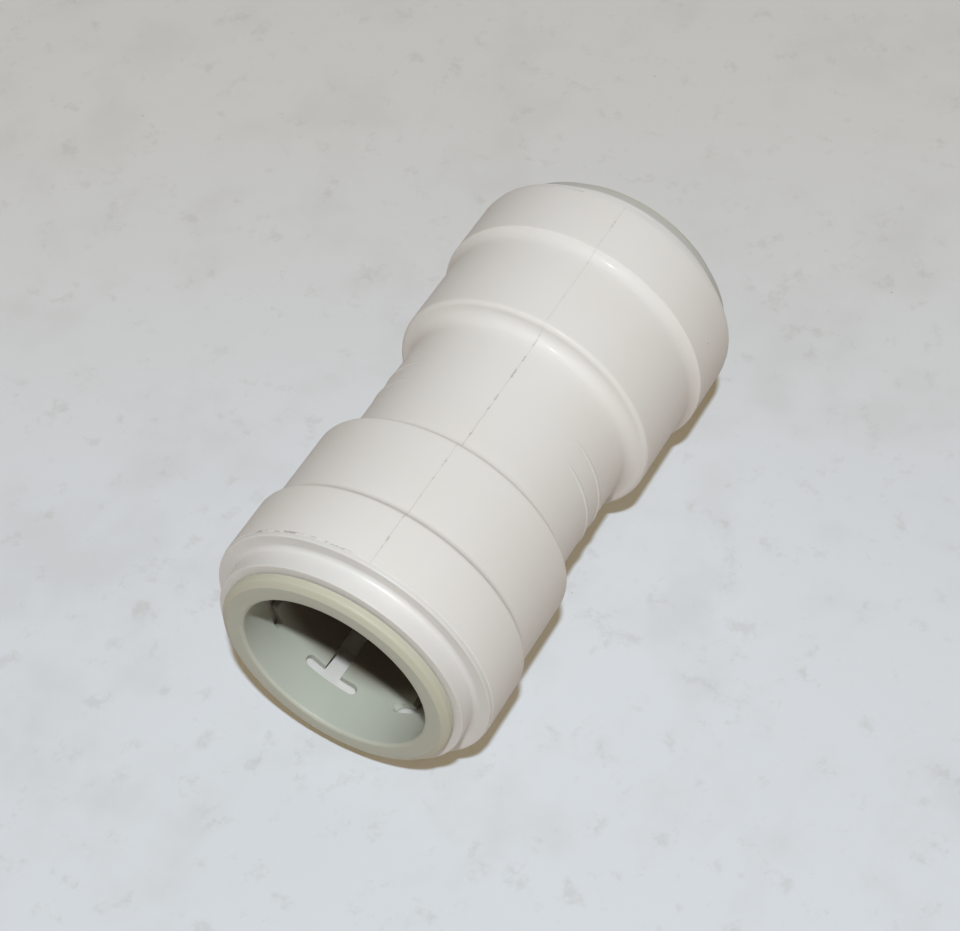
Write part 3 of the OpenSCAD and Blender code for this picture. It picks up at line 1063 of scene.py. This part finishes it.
class MakeWeldBeads(CouplingOperator, Operator):
    """Adds the ragged weld bead between the body and each cap"""

    bl_idname = "coupling.make_weld_beads"
    bl_label = "Weld beads"

    def execute(self, context):
        size = settings().body
        rim_r = settings().cap.rim_r
        material = bpy.data.materials["body_plastic"]
        for end, side in ENDS.items():
            begin()
            bead_r = size.weld_far_r if end == "b" else size.weld_r
            bpy.ops.mesh.primitive_torus_add(
                major_radius=rim_r - WELD_SUNK * bead_r, minor_radius=bead_r,
                major_segments=3 * TURN_STEPS, minor_segments=BEAD_STEPS,
                location=(side * size.rim_x, 0, 0), rotation=(0, math.pi / 2, 0),
            )
            bpy.ops.object.mode_set(mode="EDIT")
            bpy.ops.mesh.select_all(action="SELECT")
            bpy.ops.transform.vertex_random(offset=WELD_RAGGED * bead_r, seed=WELD_SEED + side)
            bpy.ops.mesh.vertices_smooth(factor=0.5, repeat=2)
            bead = end_piece(f"weld_bead_{end}")
            bpy.ops.object.shade_smooth()
            place_piece(bead, material, "body", "body_white")
        return {"FINISHED"}


class MakeCollets(CouplingOperator, Operator):
    """Turns both collets, cuts the slots between their fingers and replaces the plain solids"""

    bl_idname = "coupling.make_collets"
    bl_label = "Collets"

    def execute(self, context):
        size = settings().collet
        material = collet_plastic()
        pitch = 2 * math.pi / size.finger_count
        wall_r = (size.bore_r + size.barb_r) / 2
        deep = 2 * (size.barb_r - size.bore_r + CUT_LAP)
        cross_x = size.face_x - size.cross_depth
        slot_l = cross_x - size.tip_x + CUT_LAP
        for end, side in ENDS.items():
            turns = [size.slot_turn + k * pitch for k in range(size.finger_count)]
            if end == "b":
                # End b is end a turned half round about Y
                turns = [math.pi - turn for turn in turns]
            collet = lathe(f"release_collet_{end}", to_side(collet_outline(size), side))
            block((slot_l, size.slot_w, deep), (side * (cross_x - slot_l / 2), 0, wall_r))
            slot = end_piece("slot_cutter")
            cut(collet, join_copies(slot, turns, "slot_cutters"))
            block((size.cross_w, size.cross_l, deep), (side * cross_x, 0, wall_r))
            select_upright_edges(bpy.context.object)
            bpy.ops.mesh.bevel(offset=END_ROUND * size.cross_w, segments=ARC_STEPS, affect="EDGES")
            cross = end_piece("cross_cutter")
            cut(collet, join_copies(cross, turns, "cross_cutters"))
            begin()
            collet.select_set(True)
            context.view_layer.objects.active = collet
            bpy.ops.object.shade_smooth_by_angle(angle=SMOOTH_ANGLE)
            place_piece(collet, material, f"collet_{end}", "collet_grey", f"collet_{end}")
        return {"FINISHED"}


class DressInnerPieces(CouplingOperator, Operator):
    """Gives the teeth, seals and spacer rings their finishes"""

    bl_idname = "coupling.dress_inner_pieces"
    bl_label = "Teeth, seals and spacers"

    def execute(self, context):
        steel = tooth_steel()
        rubber = seal_rubber()
        plastic = spacer_plastic()
        fingers = range(1, settings().collet.finger_count + 1)
        for end in ENDS:
            dressed = {f"o_ring_{end}": rubber, f"spacer_ring_{end}": plastic}
            for k in fingers:
                dressed[f"grip_tooth_{end}_{k}"] = steel
            for node, material in dressed.items():
                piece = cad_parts[node]
                for slot in piece.material_slots:
                    slot.material = material
        return {"FINISHED"}


class MakeStage(CouplingOperator, Operator):
    """Sets the table top, the lights and the camera"""

    bl_idname = "coupling.make_stage"
    bl_label = "Stage"

    def execute(self, context):
        scene = context.scene
        finish = settings().finish
        scene.view_settings.view_transform = "Standard"

        begin()
        bpy.ops.mesh.primitive_grid_add(
            x_subdivisions=TABLE_CELLS, y_subdivisions=TABLE_CELLS, size=TABLE_SIZE,
            location=(0, 0, -BODY_TOP.z),
        )
        floor = end_piece("table_top")
        floor.data.materials.append(table_top())

        self.add_lights(scene, finish)
        self.add_camera(scene)
        return {"FINISHED"}

    def add_lights(self, scene, finish):
        """A key light above the camera and the light of the room."""
        lamp = bpy.data.lights.new("key_light", "AREA")
        lamp.shape = "DISK"
        lamp.size = KEY_SIZE
        lamp.energy = KEY_ENERGY
        lamp.color = finish.key
        key = bpy.data.objects.new("key_light", lamp)
        key.location = KEY_PLACE
        key.rotation_euler = KEY_PLACE.to_track_quat("Z", "Y").to_euler()
        scene.collection.objects.link(key)

        world = bpy.data.worlds.new("room")
        world.use_nodes = True
        world.node_tree.nodes.clear()
        nodes = Nodes(world.node_tree)
        room = nodes.add(
            "ShaderNodeBackground", {"Color": rgba(finish.fill), "Strength": ROOM_STRENGTH}
        )
        backdrop = nodes.add(
            "ShaderNodeBackground", {"Color": rgba(finish.backdrop), "Strength": 1.0}
        )
        mix = nodes.add("ShaderNodeMixShader", {
            "Fac": seen_rays(nodes),
            1: room.outputs["Background"],
            2: backdrop.outputs["Background"],
        })
        nodes.add("ShaderNodeOutputWorld", {"Surface": mix.outputs["Shader"]})
        scene.world = world

    def add_camera(self, scene):
        """A camera at the place that the photograph was taken from."""
        level = math.cos(CAMERA_ELEVATION)
        back = Vector((
            math.sin(CAMERA_AZIMUTH) * level,
            -math.cos(CAMERA_AZIMUTH) * level,
            math.sin(CAMERA_ELEVATION),
        ))
        right = Vector((math.cos(CAMERA_AZIMUTH), math.sin(CAMERA_AZIMUTH), 0))
        up = back.cross(right)
        lens = bpy.data.cameras.new("camera")
        lens.sensor_width = SENSOR_WIDTH
        lens.lens = FOCAL_PIXELS / PICTURE_PIXELS * SENSOR_WIDTH
        lens.clip_start = NEAREST
        lens.clip_end = FARTHEST
        camera = bpy.data.objects.new("camera", lens)
        camera.location = back * CAMERA_DISTANCE + right * CAMERA_RIGHT + up * CAMERA_UP
        camera.rotation_euler = (-back).to_track_quat("-Z", "Y").to_euler()
        scene.collection.objects.link(camera)
        scene.camera = camera


class CouplingPanel(Panel):
    """Lists the operators and the settings of the coupling"""

    bl_idname = "VIEW3D_PT_coupling"
    bl_label = "Coupling"
    bl_space_type = "VIEW_3D"
    bl_region_type = "UI"
    bl_category = "Coupling"

    def draw(self, context):
        for operator in OPERATORS:
            self.layout.operator(operator.bl_idname)
        for group in (settings().body, settings().cap, settings().collet, settings().finish):
            box = self.layout.box()
            for name in group.bl_rna.properties.keys():
                if name not in {"rna_type", "name"}:
                    box.prop(group, name)


OPERATORS = (
    MakeBody, MakeMarks, MakePartingBeads, MakeCaps, MakeWeldBeads, MakeCollets,
    DressInnerPieces, MakeStage,
)
CLASSES = (BodySizes, CapSizes, ColletSizes, Finishes, CouplingSettings, *OPERATORS, CouplingPanel)


def register():
    """Registers the classes and gives each scene its settings."""
    for cls in CLASSES:
        bpy.utils.register_class(cls)
    bpy.types.Scene.coupling = PointerProperty(type=CouplingSettings)


def unregister():
    """Takes the settings and the classes away again."""
    del bpy.types.Scene.coupling
    for cls in reversed(CLASSES):
        bpy.utils.unregister_class(cls)


def main():
    """Builds the scene, one operator after another."""
    register()
    for operator in OPERATORS:
        group, name = operator.bl_idname.split(".")
        getattr(getattr(bpy.ops, group), name)()


if __name__ == "__main__":
    main()
